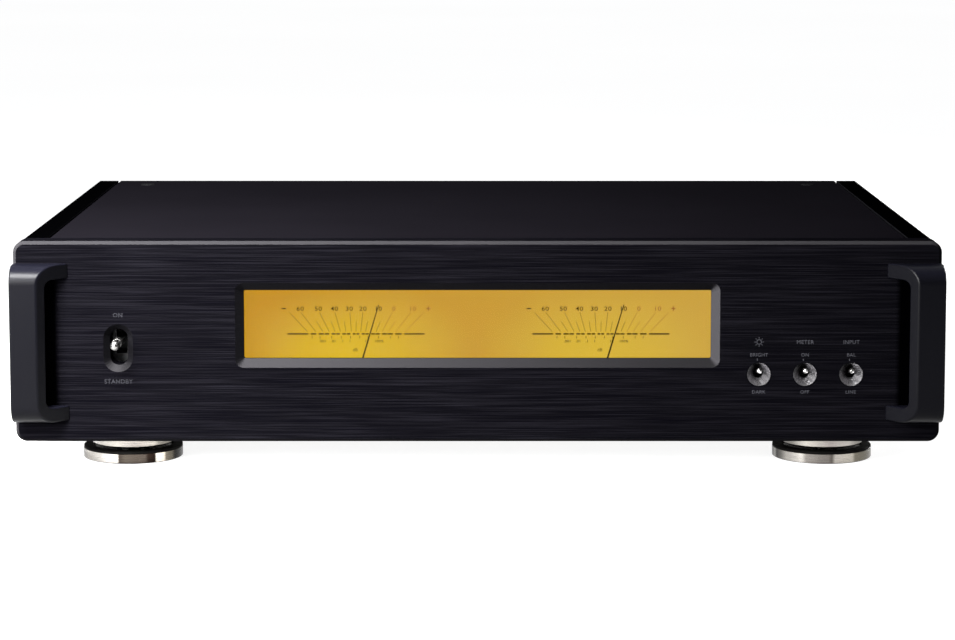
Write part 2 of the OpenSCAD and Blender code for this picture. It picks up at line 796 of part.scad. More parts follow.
module terminal_knob(x, tint) {
  y0 = rear_y + 9;
  y1 = terminal_end - 0.5;
  n = 12;
  color(tint) difference() {
    union() {
      rod_y(x, terminal_z, y0, y0 + 2, knob_d / 2 - 2);
      rod_y(x, terminal_z, y0 + 2 - cut, y1 - 1, knob_d / 2);
      rod_y(x, terminal_z, y1 - 1 - cut, y1, knob_d / 2, knob_d / 2 - 1);
    }
    rod_y(x, terminal_z, y0 - cut, y1 + cut, stud_r + running);
    for (i = [0:n - 1]) rod_y(
      x + (knob_d / 2 + 0.5) * cos(i * 360 / n), terminal_z + (knob_d / 2 + 0.5) * sin(i * 360 / n),
      y0 + 1, y1 + 1, 1.2
    );
  }
}

module left_red_knob() { terminal_knob(terminal_xs[1], [0.6, 0.05, 0.05]); }
module left_black_knob() { terminal_knob(terminal_xs[0], black); }
module right_red_knob() { terminal_knob(terminal_xs[2], [0.6, 0.05, 0.05]); }
module right_black_knob() { terminal_knob(terminal_xs[3], black); }

// ---- Feet ----

module at_feet() {
  for (x = [-foot_x, foot_x], y = foot_ys) translate([x, y, 0]) children();
}

base_top = 5.1;

module foot_flanges() {
  color(nickel) at_feet() difference() {
    rotate_extrude() polygon([[0, 7], [19.2, 7], [20, 7.8], [20, foot_h], [0, foot_h]]);
    rod_z(0, 0, 6, foot_h + 1, 2.5);
  }
}

module foot_bases() {
  r = foot_d / 2;
  color(nickel) at_feet() difference() {
    rotate_extrude() polygon([
      [0, 0.2], [r - 0.3, 0.2], [r, 0.5], [r, base_top - 0.3], [r - 0.3, base_top],
      [8, base_top], [8, 7], [0, 7]
    ]);
    rod_z(0, 0, 0, 1.2, 20.5);
    rod_z(0, 0, 1, 4, 5.2);
    rod_z(0, 0, 3, 8, 2.5);
    rod_z(-5, -16, 2.4, base_top + cut, 1.2);
  }
}

// A rubber ring on the base's rim, under the gap below the flange
module foot_rings() {
  r = foot_d / 2 - 0.1;
  color(black) at_feet() rotate_extrude() polygon([
    [19.5, base_top], [r, base_top], [r, base_top + 0.8], [r - 0.3, base_top + 1.1], [19.5, base_top + 1.1]
  ]);
}

module foot_pads() {
  color(black) at_feet() difference() {
    rod_z(0, 0, 0, 1.2, 20.5);
    rod_z(0, 0, -1, 2, 5.2);
  }
}

module foot_fasteners() {
  color(steel) at_feet() {
    difference() {
      union() {
        rod_z(0, 0, 1.4, 4, 5);
        rod_z(0, 0, 4 - cut, floor_z + 4, 2.5);
      }
      translate([0, 0, 1.4 - cut]) cylinder(r = 2.5, h = 1.6, $fn = 6);
    }
    rod_z(-5, -16, 2.4, 7, 1.2);
  }
}

front_panel();
front_subframe();
chassis_tray();
rear_panel();
left_side_panel();
right_side_panel();
top_cover();
cover_screws();
side_screws();
rear_screws();
front_screws();
left_handle();
right_handle();
handle_screws();
meter_window();
dial_plate();
light_guide();
lamp_board();
left_meter();
right_meter();
left_needle();
right_needle();
power_switch();
power_lever();
toggle_bezels();
toggle_switches();
brightness_lever();
meter_lever();
input_lever();
front_board();
transformer();
transformer_pads();
transformer_plate();
transformer_bolt();
supply_board();
supply_capacitors();
left_heat_sink();
right_heat_sink();
left_amp_board();
right_amp_board();
output_transistors();
input_board();
board_standoffs();
power_inlet();
balanced_sockets();
line_sockets();
trigger_jacks();
mode_switch();
mode_slider();
terminal_studs();
terminal_insulators();
left_red_knob();
left_black_knob();
right_red_knob();
right_black_knob();
foot_flanges();
foot_bases();
foot_rings();
foot_pads();
foot_fasteners();
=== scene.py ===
"""Looks of a stereo power amplifier with two level meters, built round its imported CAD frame."""
import json
import math

import bmesh
import bpy
from mathutils import Matrix, Vector


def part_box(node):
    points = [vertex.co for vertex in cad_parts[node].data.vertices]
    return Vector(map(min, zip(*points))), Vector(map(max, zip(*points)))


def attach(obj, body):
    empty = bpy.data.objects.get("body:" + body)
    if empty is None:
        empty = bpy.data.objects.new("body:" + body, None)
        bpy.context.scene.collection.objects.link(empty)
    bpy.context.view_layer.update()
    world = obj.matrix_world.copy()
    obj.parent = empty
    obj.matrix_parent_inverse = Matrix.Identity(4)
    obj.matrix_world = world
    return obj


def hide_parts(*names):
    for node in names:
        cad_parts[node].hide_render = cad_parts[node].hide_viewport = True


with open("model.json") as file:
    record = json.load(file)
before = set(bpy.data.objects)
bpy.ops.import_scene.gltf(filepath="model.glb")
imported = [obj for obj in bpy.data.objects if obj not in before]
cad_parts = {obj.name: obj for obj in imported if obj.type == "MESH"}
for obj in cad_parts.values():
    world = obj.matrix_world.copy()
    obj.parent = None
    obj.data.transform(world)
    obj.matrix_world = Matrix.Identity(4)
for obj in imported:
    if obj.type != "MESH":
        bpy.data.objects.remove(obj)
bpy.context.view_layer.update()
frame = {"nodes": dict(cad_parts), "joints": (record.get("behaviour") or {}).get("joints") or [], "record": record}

MM = 0.001
BODY = "chassis"
nodes = frame["nodes"]

# ---- Places that the frame gives (metres) ----

panel_lo, panel_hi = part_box("front_panel")
FACE_Y = panel_lo.y
window_lo, window_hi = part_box("meter_window")
WINDOW_Z = (window_lo.z + window_hi.z) / 2
DIAL_BEHIND_WINDOW = 2.1 * MM
DIAL_Y = window_hi.y + DIAL_BEHIND_WINDOW
joints = {joint["name"]: joint for joint in frame["joints"]}


def pivot(joint):
    """A hinge's pivot in the row frame."""
    return Vector(joints[joint]["pos_m"])


def middle(node):
    low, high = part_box(node)
    return (low + high) / 2


# ---- Camera ----


def make_camera():
    """The photograph's view: centred in front of the object, looking a little down."""
    data = bpy.data.cameras.new("camera")
    data.sensor_width = 36.0
    data.lens = 110.48
    data.shift_y = -0.1
    data.clip_end = 60
    camera = bpy.data.objects.new("camera", data)
    camera.location = (0, -1.5481, 0.2761)
    camera.rotation_euler = (math.radians(90 - 6.45), 0, 0)
    bpy.context.collection.objects.link(camera)
    bpy.context.scene.camera = camera


make_camera()

# ---- Node helpers ----


class Shader:
    """A material with a Principled shader, and short ways to add texture nodes to it."""

    def __init__(self, name, color, roughness, metallic=0.0, specular=0.5, **sockets):
        self.material = bpy.data.materials.new(name)
        self.material.use_nodes = True
        self.tree = self.material.node_tree
        self.shader = self.tree.nodes["Principled BSDF"]
        self.set("Base Color", (*color, 1.0))
        self.set("Roughness", roughness)
        self.set("Metallic", metallic)
        self.set("Specular IOR Level", specular)
        for socket, value in sockets.items():
            self.set(socket.replace("_", " "), value)
        self.material.diffuse_color = (*color, 1.0)

    def set(self, socket, value):
        self.shader.inputs[socket].default_value = value

    def node(self, kind, **settings):
        made = self.tree.nodes.new(kind)
        for name, value in settings.items():
            setattr(made, name, value)
        return made

    def link(self, output, target):
        self.tree.links.new(output, target)

    def place(self, scale=(1, 1, 1), offset=(0, 0, 0)):
        """Object coordinates, which are the row frame's metres, scaled and moved."""
        coords = self.node("ShaderNodeTexCoord")
        mapping = self.node("ShaderNodeMapping")
        mapping.inputs["Scale"].default_value = scale
        mapping.inputs["Location"].default_value = offset
        self.link(coords.outputs["Object"], mapping.inputs["Vector"])
        return mapping.outputs["Vector"]

    def noise(self, scale, stretch=(1, 1, 1), detail=3.0, roughness=0.55, offset=(0, 0, 0)):
        noise = self.node("ShaderNodeTexNoise")
        noise.inputs["Scale"].default_value = scale
        noise.inputs["Detail"].default_value = detail
        noise.inputs["Roughness"].default_value = roughness
        self.link(self.place(stretch, offset), noise.inputs["Vector"])
        return noise.outputs["Fac"]

    def ramp(self, value, stops):
        """A colour ramp with stops of (position, colour or grey)."""
        ramp = self.node("ShaderNodeValToRGB")
        elements = ramp.color_ramp.elements
        while len(elements) < len(stops):
            elements.new(0.5)
        for element, (position, color) in zip(elements, stops):
            element.position = position
            grey = isinstance(color, (int, float))
            element.color = (color, color, color, 1.0) if grey else (*color, 1.0)
        self.link(value, ramp.inputs["Fac"])
        return ramp.outputs["Color"]

    def between(self, value, low, high, start=0.3, end=0.7):
        """value from start to end mapped to low to high, as a number."""
        mapped = self.node("ShaderNodeMapRange")
        mapped.inputs["From Min"].default_value = start
        mapped.inputs["From Max"].default_value = end
        mapped.inputs["To Min"].default_value = low
        mapped.inputs["To Max"].default_value = high
        self.link(value, mapped.inputs["Value"])
        return mapped.outputs["Result"]

    def maths(self, operation, a, b=None):
        made = self.node("ShaderNodeMath", operation=operation)
        for socket, value in zip(made.inputs, (a, b)):
            if value is None:
                continue
            if isinstance(value, (int, float)):
                socket.default_value = value
            else:
                self.link(value, socket)
        return made.outputs["Value"]

    def axes(self):
        """The row frame's X, Y and Z at each point, in metres."""
        split = self.node("ShaderNodeSeparateXYZ")
        self.link(self.place(), split.inputs["Vector"])
        return split.outputs

    def normal(self):
        """The surface's direction in the row frame, as X, Y and Z."""
        coords = self.node("ShaderNodeTexCoord")
        split = self.node("ShaderNodeSeparateXYZ")
        self.link(coords.outputs["Normal"], split.inputs["Vector"])
        return split.outputs

    def mix(self, factor, first, second):
        """first where factor is 0 and second where it is 1; each is an output or a colour."""
        made = self.node("ShaderNodeMix", data_type="RGBA")
        self.link(factor, made.inputs["Factor"])
        for socket, value in ((made.inputs[6], first), (made.inputs[7], second)):
            if isinstance(value, tuple):
                socket.default_value = (*value, 1.0)
            else:
                self.link(value, socket)
        return made.outputs[2]

    def color(self, output):
        self.link(output, self.shader.inputs["Base Color"])

    def roughness(self, output):
        self.link(output, self.shader.inputs["Roughness"])

    def bump(self, height, strength, depth):
        """Small relief: depth is its height in metres."""
        bump = self.node("ShaderNodeBump")
        bump.inputs["Strength"].default_value = strength
        bump.inputs["Distance"].default_value = depth
        self.link(height, bump.inputs["Height"])
        self.link(bump.outputs["Normal"], self.shader.inputs["Normal"])


def shade_of(color, factor):
    return tuple(channel * factor for channel in color)


# ---- Materials ----


def brush_lines(made, along):
    """Uneven lines along one axis, at two lengths and widths, as a number round 0.5."""
    stretches = {"x": (20, 2600, 2600), "y": (2600, 20, 2600), "z": (2600, 2600, 20)}
    fine = made.noise(1.0, stretches[along], detail=2.0, roughness=0.6)
    broad = made.noise(0.3, stretches[along], detail=2.0, offset=(3, 5, 7))
    fine_share = made.maths("MULTIPLY", fine, 0.93)
    broad_share = made.maths("MULTIPLY", broad, 0.07)
    return made.maths("ADD", fine_share, broad_share)


def brushed(name, dark, light, along, roughness, metallic=0.0, specular=0.5):
    """Brushed sheet or extrusion."""
    made = Shader(name, dark, roughness, metallic, specular)
    lines = brush_lines(made, along)
    made.color(made.ramp(lines, [(0.38, dark), (0.53, shade_of(light, 0.5)), (0.66, light)]))
    made.roughness(made.between(lines, roughness + 0.08, roughness - 0.06, 0.35, 0.65))
    made.bump(lines, 0.35, 0.00004)
    return made.material


def slope_mask(made, low, high):
    """1 on slanted cuts, whose normals lean between low and high towards the front or rear."""
    slope = made.maths("ABSOLUTE", made.normal()[1])
    rising = made.between(slope, 0.0, 1.0, low, low + 0.05)
    return made.maths("MULTIPLY", rising, made.between(slope, 1.0, 0.0, high - 0.1, high))


def handle_shadow_mask(made):
    """1 on the strips of panel in the two finger gaps, where the panel gets a painted shadow of the handles."""
    low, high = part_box("right_handle")
    x, _, z = made.axes()
    shade_from, shade_full = high.x - 22 * MM, high.x - 19.5 * MM
    aside = made.between(made.maths("ABSOLUTE", x), 0.0, 1.0, shade_from, shade_full)
    height = made.maths("ABSOLUTE", made.maths("SUBTRACT", z, (low.z + high.z) / 2))
    return made.maths("MULTIPLY", aside, made.between(height, 1.0, 0.0, 35 * MM, 36 * MM))


def anodised_panel_with_painted_light(name, dark, light, edge, edge_shaded):
    """The front panel: black, brushed across, with scattered brighter strokes and cut bevels.

    Bevels that face up or to the left get a painted highlight, the others painted shade. Towards the
    window's right end its bottom bevel gets darker painted shade, and its right bevel the palest painted
    highlight."""
    made = Shader(name, dark, 0.5, 0.0, 0.0)
    lines = brush_lines(made, "x")
    face = made.ramp(lines, [(0.38, dark), (0.52, shade_of(light, 0.34)), (0.66, shade_of(light, 0.8))])
    stroke_noise = made.noise(1.0, (22, 2300, 2300), detail=1.0, offset=(9, 2, 4))
    face = made.mix(made.between(stroke_noise, 0.0, 0.8, 0.56, 0.74), face, light)
    # Painted light on the bevels, chosen by which way they face: painted highlight up and left, painted shade down
    # and right.
    x, _, z = made.normal()
    facing_light = made.maths("SUBTRACT", z, made.maths("MULTIPLY", x, 0.8))
    bevel = made.mix(made.between(facing_light, 0.0, 1.0, -0.1, 0.45), edge_shaded, edge)
    across, _, up = made.axes()
    # Along the window: painted shade growing to the right on the bottom bevel, and a painted highlight on the
    # right bevel.
    from_middle = made.maths("ABSOLUTE", made.maths("SUBTRACT", up, WINDOW_Z))
    window = made.between(from_middle, 1.0, 0.0, 24 * MM, 25 * MM)
    rightward = made.maths("MULTIPLY", window, made.between(across, 0.0, 1.0, -90 * MM, 90 * MM))
    bottom = made.maths("MULTIPLY", rightward, made.between(z, 0.0, 1.0, 0.3, 0.6))
    bevel = made.mix(bottom, bevel, shade_of(edge, 0.5))
    right_end = made.maths("MULTIPLY", rightward, made.between(x, 1.0, 0.0, -0.6, -0.3))
    bevel = made.mix(right_end, bevel, shade_of(edge, 1.45))
    # Painted shadow of the handles on the panel in the finger gaps.
    face = made.mix(handle_shadow_mask(made), face, shade_of(dark, 0.1))
    face = made.mix(slope_mask(made, 0.6, 0.95), face, bevel)
    # The recesses' sloped mouths: painted highlight where they face up, painted shade where they face down.
    mouth = made.mix(made.between(z, 0.0, 1.0, 0.3, 0.8), edge_shaded, edge)
    made.color(made.mix(slope_mask(made, 0.48, 0.68), face, mouth))
    made.roughness(made.between(lines, 0.56, 0.42, 0.35, 0.65))
    made.bump(lines, 0.35, 0.00003)
    return made.material


def powder(name, color, roughness, specular=0.4, vary=0.15):
    """Painted or anodised sheet with a fine even grain and a faint drift of colour."""
    made = Shader(name, color, roughness, 0.0, specular)
    cloud = made.noise(9.0, detail=4.0)
    made.color(made.ramp(cloud, [(0.3, shade_of(color, 1 - vary)), (0.7, shade_of(color, 1 + vary))]))
    made.roughness(made.between(cloud, roughness - 0.05, roughness + 0.06))
    made.bump(made.noise(1500, detail=2.0), 0.25, 0.00003)
    return made.material


def side_plate(name, face, edge):
    """The side panels: satin anodised faces, with the flat top and bottom faces painted near black as shade."""
    made = Shader(name, face, 0.45, 0.0, 0.0)
    cloud = made.noise(9.0, detail=4.0)
    satin = made.ramp(cloud, [(0.3, shade_of(face, 0.85)), (0.7, shade_of(face, 1.15))])
    flat = made.between(made.maths("ABSOLUTE", made.normal()[2]), 0.0, 1.0, 0.8, 0.95)
    # Painted shade: the flat top and bottom faces near black.
    made.color(made.mix(flat, satin, edge))
    made.bump(made.noise(1500, detail=2.0), 0.25, 0.00003)
    return made.material


def polished(name, color, roughness, grain="z"):
    """Bright plated or turned metal with faint tool lines and a slight uneven gloss."""
    made = Shader(name, color, roughness, 1.0)
    lines = {"y": (4000, 40, 4000), "z": (60, 60, 4200)}[grain]
    turned = made.noise(1.0, lines, detail=2.0)
    cloud = made.noise(30.0, detail=3.0)
    made.color(made.ramp(cloud, [(0.3, shade_of(color, 0.9)), (0.7, color)]))
    made.roughness(made.between(turned, roughness * 0.7, roughness * 1.5))
    made.bump(turned, 0.12, 0.00001)
    return made.material


def lever_plate(name, color, roughness):
    """Plated levers, mottled, darker on the power lever, and painted near black behind the panel's face as shade
    in the recesses.
    """
    made = Shader(name, color, roughness, 1.0)
    cloud = made.noise(420.0, detail=2.0)
    bright = made.ramp(cloud, [(0.36, shade_of(color, 0.12)), (0.56, color)])
    # A darker tone of the plating, used on the power lever.
    dimmed = made.ramp(cloud, [(0.38, shade_of(color, 0.03)), (0.58, shade_of(color, 0.35))])
    x, y, _ = made.axes()
    bright = made.mix(made.between(x, 0.0, 1.0, -101 * MM, -100 * MM), dimmed, bright)
    # Painted shade: the levers are near black inside the recesses, behind the panel's face.
    behind = made.between(y, 0.0, 1.0, FACE_Y - 1 * MM, FACE_Y + 1.5 * MM)
    made.color(made.mix(behind, bright, (0.004, 0.004, 0.004)))
    tool_marks = made.noise(1.0, (4000, 40, 4000), detail=2.0)
    made.roughness(made.between(tool_marks, roughness * 0.7, roughness * 1.5))
    return made.material


def handle_paint_and_light(name, color, roughness):
    """The handles: satin black, with a painted highlight on the bends' tops and on the faces turned to the left,
    and painted shade on the faces turned to the right.
    """
    made = Shader(name, color, roughness, 0.0, 0.05)
    cloud = made.noise(9.0, detail=4.0)
    satin = made.ramp(cloud, [(0.3, shade_of(color, 0.85)), (0.7, shade_of(color, 1.15))])
    x, _, z = made.normal()
    # Painted shade on the faces turned to the right.
    satin = made.mix(made.between(x, 0.0, 1.0, 0.6, 0.9), satin, shade_of(color, 0.05))
    # Painted highlight on the faces turned to the left.
    satin = made.mix(made.between(x, 1.0, 0.0, -0.9, -0.6), satin, shade_of(color, 1.7))
    # Painted highlight on the up-facing tops of the bends.
    made.color(made.mix(made.between(z, 0.0, 1.0, 0.2, 0.7), satin, shade_of(color, 3.0)))
    made.bump(made.noise(2400, detail=2.0), 0.12, 0.00003)
    return made.material


def dished(name, color, roughness):
    """The toggle switches' dishes: cones painted bright at the bottom where they face up and left, with painted
    shade where they face down and right, inside a dark narrow rim.
    """
    made = Shader(name, color, roughness, 1.0)
    cloud = made.noise(200.0, detail=3.0)
    bright = made.ramp(cloud, [(0.3, shade_of(color, 0.9)), (0.7, color)])
    x, _, z = made.normal()
    facing_light = made.maths("SUBTRACT", z, made.maths("MULTIPLY", x, 0.6))
    # Painted highlight where the cone faces up and left, painted shade where it faces down and right.
    bright = made.mix(made.between(facing_light, 0.0, 1.0, -0.7, 0.6), shade_of(color, 0.12), bright)
    made.color(made.mix(slope_mask(made, 0.3, 0.97), (0.004, 0.004, 0.005), bright))
    tool_marks = made.noise(1.0, (4000, 40, 4000), detail=2.0)
    made.roughness(made.between(tool_marks, roughness * 0.9, roughness * 1.15))
    return made.material


# The feet's painted reflections, as bands of (place across the wall, colour). The left and right feet differ.
LEFT_PAINTED_REFLECTIONS = [
    (0.0, (0.08, 0.07, 0.06)), (0.08, (0.38, 0.36, 0.33)), (0.30, (0.50, 0.48, 0.45)),
    (0.39, (0.42, 0.40, 0.36)), (0.41, (0.028, 0.022, 0.018)), (0.47, (0.052, 0.043, 0.035)),
    (0.67, (0.05, 0.04, 0.033)), (0.70, (0.014, 0.009, 0.007)), (0.765, (0.012, 0.008, 0.006)),
    (0.785, (0.85, 0.80, 0.71)), (0.85, (0.78, 0.70, 0.59)), (0.865, (0.20, 0.175, 0.135)),
    (0.92, (0.13, 0.115, 0.09)), (0.94, (0.012, 0.011, 0.01)),
]
RIGHT_PAINTED_REFLECTIONS = [
    (0.0, (0.01, 0.01, 0.01)), (0.02, (0.3, 0.29, 0.27)), (0.035, (0.02, 0.018, 0.016)),
    (0.10, (0.40, 0.38, 0.35)), (0.25, (0.42, 0.40, 0.37)), (0.29, (0.19, 0.175, 0.16)),
    (0.52, (0.14, 0.125, 0.115)), (0.55, (0.07, 0.06, 0.05)), (0.58, (0.34, 0.315, 0.285)),
    (0.76, (0.36, 0.335, 0.29)), (0.79, (0.16, 0.145, 0.115)), (0.97, (0.13, 0.12, 0.095)),
]
LEFT_FLANGE_REFLECTIONS = [
    (0.0, (0.2, 0.19, 0.18)), (0.3, (0.27, 0.255, 0.23)), (0.6, (0.2, 0.18, 0.165)),
    (0.8, (0.27, 0.25, 0.22)),
]
RIGHT_FLANGE_REFLECTIONS = [
    (0.0, (0.2, 0.19, 0.18)), (0.25, (0.42, 0.40, 0.36)), (0.55, (0.26, 0.235, 0.22)),
    (0.8, (0.38, 0.36, 0.33)), (1.0, (0.15, 0.14, 0.12)),
]


def turned(name):
    """Polished nickel of the feet: painted reflections in bands on the base walls, plainer painted reflections on
    the flanges, and flat faces painted dark as a reflection of the case's underside.
    """
    made = Shader(name, (0.6, 0.57, 0.52), 0.24, 1.0)
    waver = made.maths("SUBTRACT", made.noise(90.0, (1, 1, 0.1), detail=4.0), 0.5)
    leaning = made.maths("ADD", made.normal()[0], made.maths("MULTIPLY", waver, 0.12))
    across = made.between(leaning, 0.0, 1.0, -1.0, 1.0)
    x, _, z = made.axes()
    side = made.between(x, 0.0, 1.0, -1 * MM, 1 * MM)
    # Painted reflection bands, picked by which way the wall faces; different for the left and right feet.
    base = made.mix(side, made.ramp(across, LEFT_PAINTED_REFLECTIONS), made.ramp(across, RIGHT_PAINTED_REFLECTIONS))
    flange = made.mix(side, made.ramp(across, LEFT_FLANGE_REFLECTIONS), made.ramp(across, RIGHT_FLANGE_REFLECTIONS))
    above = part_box("foot_flanges")[0].z
    upper = made.between(z, 0.0, 1.0, above + 0.05 * MM, above + 0.1 * MM)
    wall = made.between(made.maths("ABSOLUTE", made.normal()[2]), 1.0, 0.0, 0.2, 0.5)
    # Flat faces get a dark painted reflection; walls get the painted reflection bands.
    made.color(made.mix(wall, (0.03, 0.025, 0.02), made.mix(upper, base, flange)))
    made.roughness(made.between(made.noise(1.0, (60, 60, 4200), detail=2.0), 0.16, 0.34))
    return made.material


def moulded(name, color, roughness, specular=0.5):
    """Moulded plastic or rubber: an eggshell grain and a faint colour drift."""
    made = Shader(name, color, roughness, 0.0, specular)
    cloud = made.noise(25.0, detail=3.0)
    made.color(made.ramp(cloud, [(0.3, shade_of(color, 0.85)), (0.7, shade_of(color, 1.15))]))
    made.roughness(made.between(made.noise(60.0), roughness - 0.06, roughness + 0.08))
    made.bump(made.noise(900, detail=1.0), 0.2, 0.00004)
    return made.material


def circuit_board(name, color):
    """Solder mask over copper: blocky traces a little lighter than the board."""
    made = Shader(name, color, 0.35, 0.0, 0.5)
    cells = made.node("ShaderNodeTexVoronoi", distance="CHEBYCHEV")
    cells.inputs["Scale"].default_value = 220.0
    made.link(made.place(), cells.inputs["Vector"])
    traces = made.ramp(cells.outputs["Distance"], [(0.42, shade_of(color, 1.7)), (0.47, color)])
    made.color(traces)
    made.bump(made.between(cells.outputs["Distance"], 1.0, 0.0, 0.42, 0.47), 0.3, 0.00005)
    return made.material


def clear(name):
    """Clear acrylic with a faint warm tint and barely uneven gloss."""
    made = Shader(name, (1.0, 0.995, 0.98), 0.0, 0.0, 0.5, Transmission_Weight=1.0, IOR=1.12)
    made.roughness(made.between(made.noise(14.0), 0.0, 0.012))
    return made.material


def smoked(name, color):
    """Glossy tinted plastic caps of the speaker terminals."""
    made = Shader(name, color, 0.12, 0.0, 0.6, Coat_Weight=0.5, Coat_Roughness=0.05)
    cloud = made.noise(120.0, detail=2.0)
    made.color(made.ramp(cloud, [(0.3, shade_of(color, 0.75)), (0.7, color)]))
    made.roughness(made.between(cloud, 0.08, 0.2))
    return made.material


def wound(name, color):
    """Varnished tape wound round a ring, as 60 bands."""
    made = Shader(name, color, 0.3, 0.0, 0.5, Coat_Weight=0.3)
    x, y, _ = made.axes()
    centre = middle("transformer")
    back, aside = made.maths("SUBTRACT", y, centre.y), made.maths("SUBTRACT", x, centre.x)
    wave = made.maths("SINE", made.maths("MULTIPLY", made.maths("ARCTAN2", back, aside), 60.0))
    bands = made.between(wave, 0.0, 1.0, -1.0, 1.0)
    made.color(made.ramp(bands, [(0.0, shade_of(color, 0.6)), (1.0, color)]))
    made.bump(bands, 0.5, 0.0003)
    return made.material


def backlit(name):
    """The amber dial: yellow low under each meter, more orange further out, and paler to the right."""
    reach_across, reach_up, glow_below = 62 * MM, 36 * MM, 16.5 * MM
    made = Shader(name, (0.004, 0.002, 0.0002), 0.55, 0.0, 0.0)
    x, _, z = made.axes()
    away = made.maths("SUBTRACT", made.maths("ABSOLUTE", x), pivot("right_needle_swing").x)
    across = made.maths("DIVIDE", away, reach_across)
    up = made.maths("DIVIDE", made.maths("SUBTRACT", z, WINDOW_Z - glow_below), reach_up)
    far = made.maths("ADD", made.maths("MULTIPLY", across, across), made.maths("MULTIPLY", up, up))
    cloud = made.maths("MULTIPLY", made.maths("SUBTRACT", made.noise(26.0, detail=3.0), 0.5), 0.3)
    glow = made.ramp(
        made.maths("ADD", made.maths("SQRT", far), cloud),
        [
            (0.05, (0.70, 0.475, 0.004)), (0.38, (0.655, 0.425, 0.006)), (0.62, (0.600, 0.36, 0.016)),
            (0.82, (0.56, 0.305, 0.012)), (1.0, (0.54, 0.27, 0.008)),
        ],
    )
    glow = made.mix(made.between(x, 0.0, 0.55, -0.12, 0.12), glow, (0.61, 0.42, 0.085))
    made.link(glow, made.shader.inputs["Emission Color"])
    made.set("Emission Strength", 1.0)
    return made.material


STEEL = (0.52, 0.52, 0.5)

FINISHES = {
    "panel_black": anodised_panel_with_painted_light(
        "panel_black", dark=(0.0007, 0.00065, 0.0011), light=(0.0036, 0.0034, 0.0046),
        # The two edge colours are the bevels' painted highlight and painted shade.
        edge=(0.0138, 0.0133, 0.0145), edge_shaded=(0.0028, 0.0027, 0.0032),
    ),
    "case_black": powder("case_black", (0.008, 0.008, 0.009), 0.5, 0.12),
    # The second colour is the painted shade on the side panels' flat top and bottom faces.
    "side_black": side_plate("side_black", (0.006, 0.006, 0.007), (0.00015, 0.00015, 0.0002)),
    "cover_grey": powder("cover_grey", (0.0030, 0.0027, 0.0036), 0.6, 0.0, vary=0.08),
    "handle_black": handle_paint_and_light("handle_black", (0.0008, 0.0008, 0.0014), 0.33),
    "zinc_steel": brushed("zinc_steel", shade_of(STEEL, 0.8), STEEL, "y", 0.38, 1.0),
    "screw_steel": powder("screw_steel", (0.006, 0.006, 0.0065), 0.5, 0.0),
    "window_clear": clear("window_clear"),
    "dial": backlit("dial"),
    "guide": moulded("guide", (0.85, 0.83, 0.76), 0.3),
    "board": circuit_board("board", (0.02, 0.12, 0.06)),
    "meter_body": moulded("meter_body", (0.03, 0.03, 0.032), 0.5),
    "needle": powder("needle", (0.005, 0.003, 0.001), 0.6, 0.0),
    "switch_body": moulded("switch_body", (0.012, 0.012, 0.013), 0.45, 0.2),
    "bright": lever_plate("bright", (0.66, 0.65, 0.63), 0.27),
    "bezel": dished("bezel", (0.40, 0.39, 0.405), 0.28),
    "winding": wound("winding", (0.35, 0.14, 0.04)),
    "rubber": moulded("rubber", (0.0022, 0.002, 0.0019), 0.7, 0.04),
    "capacitor": smoked("capacitor", (0.02, 0.025, 0.06)),
    "sink": brushed("sink", (0.01, 0.01, 0.011), (0.04, 0.04, 0.042), "z", 0.45, 0.0, 0.4),
    "chip": moulded("chip", (0.02, 0.02, 0.021), 0.6),
    "socket_black": moulded("socket_black", (0.018, 0.018, 0.019), 0.42),
    "socket_metal": polished("socket_metal", (0.75, 0.74, 0.72), 0.22),
    "gold": polished("gold", (0.83, 0.56, 0.2), 0.2, "y"),
    "red_cap": smoked("red_cap", (0.42, 0.012, 0.012)),
    "black_cap": smoked("black_cap", (0.02, 0.02, 0.022)),
    "foot_metal": turned("foot_metal"),
}


def finish_nodes():
    """Gives each CAD node the finish of its material slot."""
    for part in frame["record"]["subparts"]:
        node = nodes[part["node"]]
        finish = FINISHES[part["material_slot"]]
        for slot in node.material_slots:
            slot.material = finish
        if not node.material_slots:
            node.data.materials.append(finish)


finish_nodes()


def printing_ink(name, color, glow=(0, 0, 0), right=1.0):
    """Slightly patchy print, plainer and right times as bright to the right. It can glow."""
    made = Shader(name, color, 0.6, 0.0, 0.0)
    patchy = made.noise(1800.0, detail=2.0)
    left = made.ramp(patchy, [(0.25, shade_of(color, 0.8)), (0.6, color)])
    x, _, _ = made.axes()
    made.color(made.mix(made.between(x, 0.0, 1.0, -0.15, 0.15), left, shade_of(color, right)))
    made.set("Emission Color", (*glow, 1.0))
    made.set("Emission Strength", 1.0)
    return made.material


INK = printing_ink("scale_ink", (0.026, 0.014, 0.0004), glow=(0.032, 0.012, 0.0))
RED_INK = printing_ink("scale_red", (0.11, 0.042, 0.002), glow=(0.22, 0.088, 0.016))
LABEL_INK = printing_ink("label_grey", (0.0155, 0.0155, 0.018), right=1.7)
REAR_INK = printing_ink("rear_grey", (0.18, 0.18, 0.185))

# ---- Building pieces ----


def piece(name, mesh, material, body=BODY):
    """A mesh made into a finished piece that rides on a body."""
    mesh.materials.clear()
    mesh.materials.append(material)
    made = bpy.data.objects.new(name, mesh)
    bpy.context.collection.objects.link(made)
    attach(made, body)
    return made


def from_bmesh(name, shape):
    bmesh.ops.recalc_face_normals(shape, faces=shape.faces)
    mesh = bpy.data.meshes.new(name)
    shape.to_mesh(mesh)
    shape.free()
    return mesh


